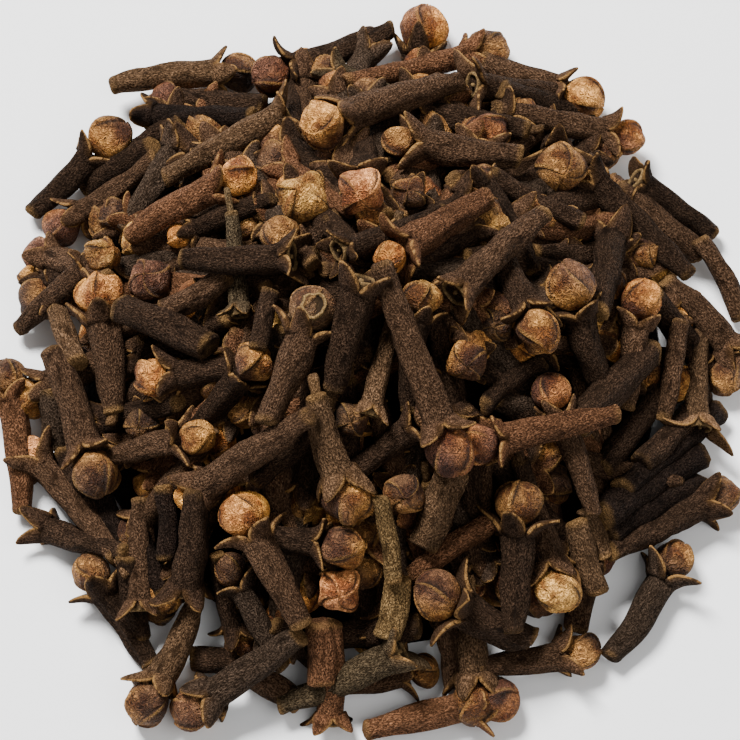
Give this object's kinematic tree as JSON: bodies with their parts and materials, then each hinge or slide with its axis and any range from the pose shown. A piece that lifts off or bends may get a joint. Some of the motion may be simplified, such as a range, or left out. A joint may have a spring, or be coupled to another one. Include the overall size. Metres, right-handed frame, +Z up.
{
  "type": "heap of whole cloves",
  "caption": "Round uneven heap of whole dried cloves lying loose on a flat surface, dark brown stems with lobed heads round tan ball-shaped buds, no dish",
  "frame": {"origin": "middle of the heap's flat base, at floor level", "axes": "+Z up, the way the heap rises, its shortest extent; +X to the right and -Y towards the front of the heap"},
  "size_m": [0.0796, 0.0802, 0.0282],
  "materials": {
    "clove_stem": "matte, wrinkled dried stem, dark brown",
    "clove_bud": "matte, wrinkled dried flower bud, tan to reddish brown",
    "clove_bed": "matte, unlit inside of the heap"
  },
  "bodies": {
    "root": {"clove_heap": "clove_stem"}
  },
  "joints": []
}
